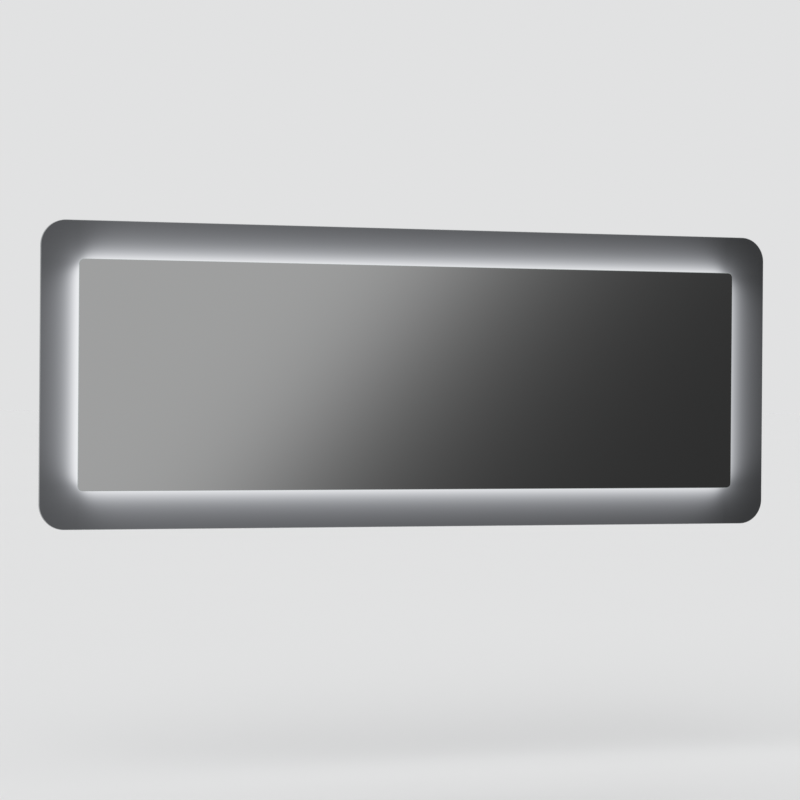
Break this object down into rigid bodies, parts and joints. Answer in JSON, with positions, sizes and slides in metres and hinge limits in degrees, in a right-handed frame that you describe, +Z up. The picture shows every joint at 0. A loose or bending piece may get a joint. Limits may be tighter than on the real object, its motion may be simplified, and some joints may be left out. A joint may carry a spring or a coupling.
{
  "type": "lighted bathroom mirror",
  "caption": "Wide wall-hung mirror on a larger satin glass panel with rounded corners, edge-lit from behind by strips in an aluminium rear frame, hung on a hooked wall rail.",
  "frame": {"origin": "middle of the wall rail's row of fixing slots, on the wall plane", "axes": "+X to the right as seen from the room, +Z up, the front faces -Y and the wall is the plane Y = 0"},
  "size_m": [1.55, 0.0472, 0.6],
  "materials": {
    "anodised_frame": "satin anodised",
    "black_rubber": "matt",
    "cast_alloy": "die cast",
    "circuit_board": "solder mask",
    "foam_tape": "closed-cell foam, matt",
    "galvanised_steel": "hot-dip galvanised sheet",
    "grey_plastic": "moulded",
    "led_board": "white solder mask",
    "light_grey_plastic": "moulded, fine texture",
    "mill_aluminium": "mill finish",
    "natural_plastic": "natural nylon",
    "opal_diffuser": "opal, lit from behind",
    "satin_glass": "acid-etched satin",
    "silvered_mirror": "polished",
    "white_film": "semi-gloss film",
    "white_insulation": "PVC insulation",
    "white_plastic": "moulded, fine texture",
    "zinc_screws": "bright zinc plated"
  },
  "bodies": {
    "wall_mount": {"wall_rail": "mill_aluminium"},
    "mirror_unit": {"backing_tape": "foam_tape", "brace_left": "galvanised_steel", "brace_right": "galvanised_steel", "brace_screws": "zinc_screws", "corner_key_screws": "zinc_screws", "corner_keys": "cast_alloy", "corner_link_wires": "white_insulation", "diffuser_bottom": "opal_diffuser", "diffuser_end_caps": "grey_plastic", "diffuser_left": "opal_diffuser", "diffuser_right": "opal_diffuser", "diffuser_top": "opal_diffuser", "driver_base": "white_plastic", "driver_bushings": "black_rubber", "driver_circuit_board": "circuit_board", "driver_lid": "white_plastic", "driver_screws": "zinc_screws", "electrics_tray": "galvanised_steel", "feed_grommet": "black_rubber", "frame_bond_tape": "foam_tape", "frame_rail_bottom": "anodised_frame", "frame_rail_left": "anodised_frame", "frame_rail_right": "anodised_frame", "frame_rail_top": "anodised_frame", "gland_bodies": "grey_plastic", "gland_caps": "grey_plastic", "gland_nuts": "grey_plastic", "gland_seals": "black_rubber", "hanging_rail": "mill_aluminium", "hanging_rail_screws": "zinc_screws", "junction_box": "light_grey_plastic", "junction_box_lid": "light_grey_plastic", "junction_box_screws": "zinc_screws", "junction_lid_screws": "zinc_screws", "lead_clips": "natural_plastic", "led_strip_bottom": "led_board", "led_strip_left": "led_board", "led_strip_right": "led_board", "led_strip_top": "led_board", "mains_link_lead": "white_insulation", "mirror_bond_tape": "foam_tape", "mirror_pane": "silvered_mirror", "safety_film": "white_film", "satin_glass_panel": "satin_glass", "strip_feed_lead": "white_insulation", "terminal_block": "natural_plastic", "tray_screws": "zinc_screws", "wall_spacers": "black_rubber"}
  },
  "joints": [
    {"name": "lift_off", "type": "slide", "parent": "wall_mount", "child": "mirror_unit", "axis": [0, 0, 1], "range_m": [0, 0.012]}
  ]
}
